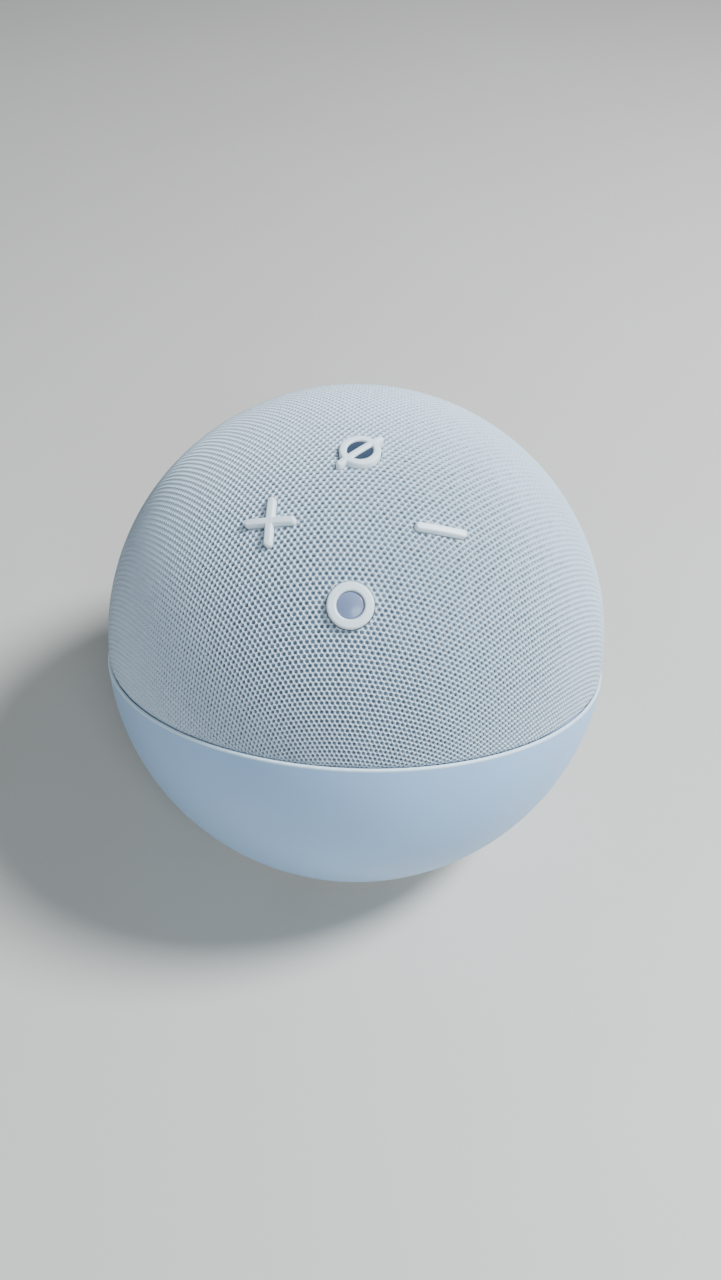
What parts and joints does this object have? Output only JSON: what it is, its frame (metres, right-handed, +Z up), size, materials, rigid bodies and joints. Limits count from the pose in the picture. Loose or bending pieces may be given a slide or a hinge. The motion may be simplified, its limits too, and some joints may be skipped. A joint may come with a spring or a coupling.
{
  "type": "smart speaker",
  "caption": "Ball-shaped smart speaker with a knitted cover, a smooth lower housing, top buttons and a flat base.",
  "frame": {"origin": "on the resting surface, under the middle of the ball", "axes": "+Z up, +Y the way the loudspeaker faces, -Y the back with the sockets"},
  "size_m": [0.0998, 0.0996, 0.0894],
  "materials": {
    "knit": "open knitted polyester yarn",
    "housing_plastic": "smooth matte moulded plastic",
    "button_plastic": "satin moulded plastic",
    "light_diffuser": "milky translucent plastic",
    "base_plastic": "moulded plastic",
    "inner_plastic": "dark moulded plastic",
    "grille_plastic": "moulded plastic",
    "foot_rubber": "soft matt rubber",
    "soft_rubber": "moulded rubber or foam",
    "screw_steel": "zinc plated",
    "board": "glass-fibre board with green solder mask",
    "chip": "moulded chip packages",
    "lamp": "lamp package",
    "can_steel": "tinned sheet steel",
    "pad": "soft heat-conducting pad",
    "spreader_metal": "die-cast aluminium",
    "contact_brass": "plated contact",
    "ribbon": "flexible ribbon",
    "connector": "moulded connector",
    "wire": "insulated wire",
    "magnet": "pressed ferrite",
    "yoke_steel": "plated mild steel",
    "coil_copper": "enamelled copper winding",
    "cone": "pressed paper cone",
    "spider_cloth": "resin-dipped cloth",
    "surround_rubber": "moulded rubber roll",
    "lens": "translucent tinted plastic",
    "dark_lens": "translucent grey plastic",
    "microphone": "plated microphone can"
  },
  "bodies": {
    "enclosure": {"fabric_cover": "knit", "grille_shell": "grille_plastic", "lower_housing": "housing_plastic", "light_ring": "light_diffuser", "base_plate": "base_plastic", "foot_ring": "foot_rubber", "base_screws": "screw_steel", "lamp_board": "board", "ring_lamps": "lamp", "lamp_header": "inner_plastic", "main_board": "board", "board_chips": "chip", "shield_can": "can_steel", "thermal_pad": "pad", "heat_spreader": "spreader_metal", "board_screws": "screw_steel", "power_socket": "inner_plastic", "power_socket_pin": "contact_brass", "audio_socket": "inner_plastic", "ribbon_cable": "ribbon", "ribbon_connectors": "connector", "speaker_wires": "wire", "wire_plug": "connector", "wire_grommet": "soft_rubber", "speaker_box_front": "inner_plastic", "speaker_box_rear": "inner_plastic", "chassis_screws": "screw_steel", "driver_gasket": "soft_rubber", "driver_basket": "inner_plastic", "driver_screws": "screw_steel", "driver_magnet": "magnet", "magnet_top_plate": "yoke_steel", "pole_yoke": "yoke_steel", "driver_spider": "spider_cloth", "driver_surround": "surround_rubber", "top_board": "board", "top_board_screws": "screw_steel", "button_guide": "grille_plastic", "guide_screws": "screw_steel", "microphones": "microphone", "mic_boots": "soft_rubber", "switch_bodies": "chip", "status_lamps": "lamp"},
    "action": {"action_button": "button_plastic", "action_lens": "lens", "action_plunger": "inner_plastic"},
    "mute": {"mute_button": "button_plastic", "mute_lens": "dark_lens", "mute_plunger": "inner_plastic"},
    "volume_up": {"volume_up_button": "button_plastic", "volume_up_plunger": "inner_plastic"},
    "volume_down": {"volume_down_button": "button_plastic", "volume_down_plunger": "inner_plastic"},
    "cone_assembly": {"driver_cone": "cone", "dust_cap": "cone", "voice_coil": "coil_copper"}
  },
  "joints": [
    {"name": "action_press", "type": "slide", "parent": "enclosure", "child": "action", "axis": [0, 0.3584, -0.9336], "range_m": [0, 0.0005], "stiffness_N_per_m": 900, "springref_m": -0.0003},
    {"name": "mute_press", "type": "slide", "parent": "enclosure", "child": "mute", "axis": [0, 0.3584, -0.9336], "range_m": [0, 0.0005], "stiffness_N_per_m": 900, "springref_m": -0.0003},
    {"name": "volume_up_press", "type": "slide", "parent": "enclosure", "child": "volume_up", "axis": [0, 0.3584, -0.9336], "range_m": [0, 0.0005], "stiffness_N_per_m": 900, "springref_m": -0.0003},
    {"name": "volume_down_press", "type": "slide", "parent": "enclosure", "child": "volume_down", "axis": [0, 0.3584, -0.9336], "range_m": [0, 0.0005], "stiffness_N_per_m": 900, "springref_m": -0.0003},
    {"name": "cone_stroke", "type": "slide", "parent": "enclosure", "child": "cone_assembly", "axis": [0, 0.9848, 0.1736], "range_m": [-0.0015, 0.0015], "stiffness_N_per_m": 1400, "deforming": ["driver_surround", "driver_spider"]}
  ]
}
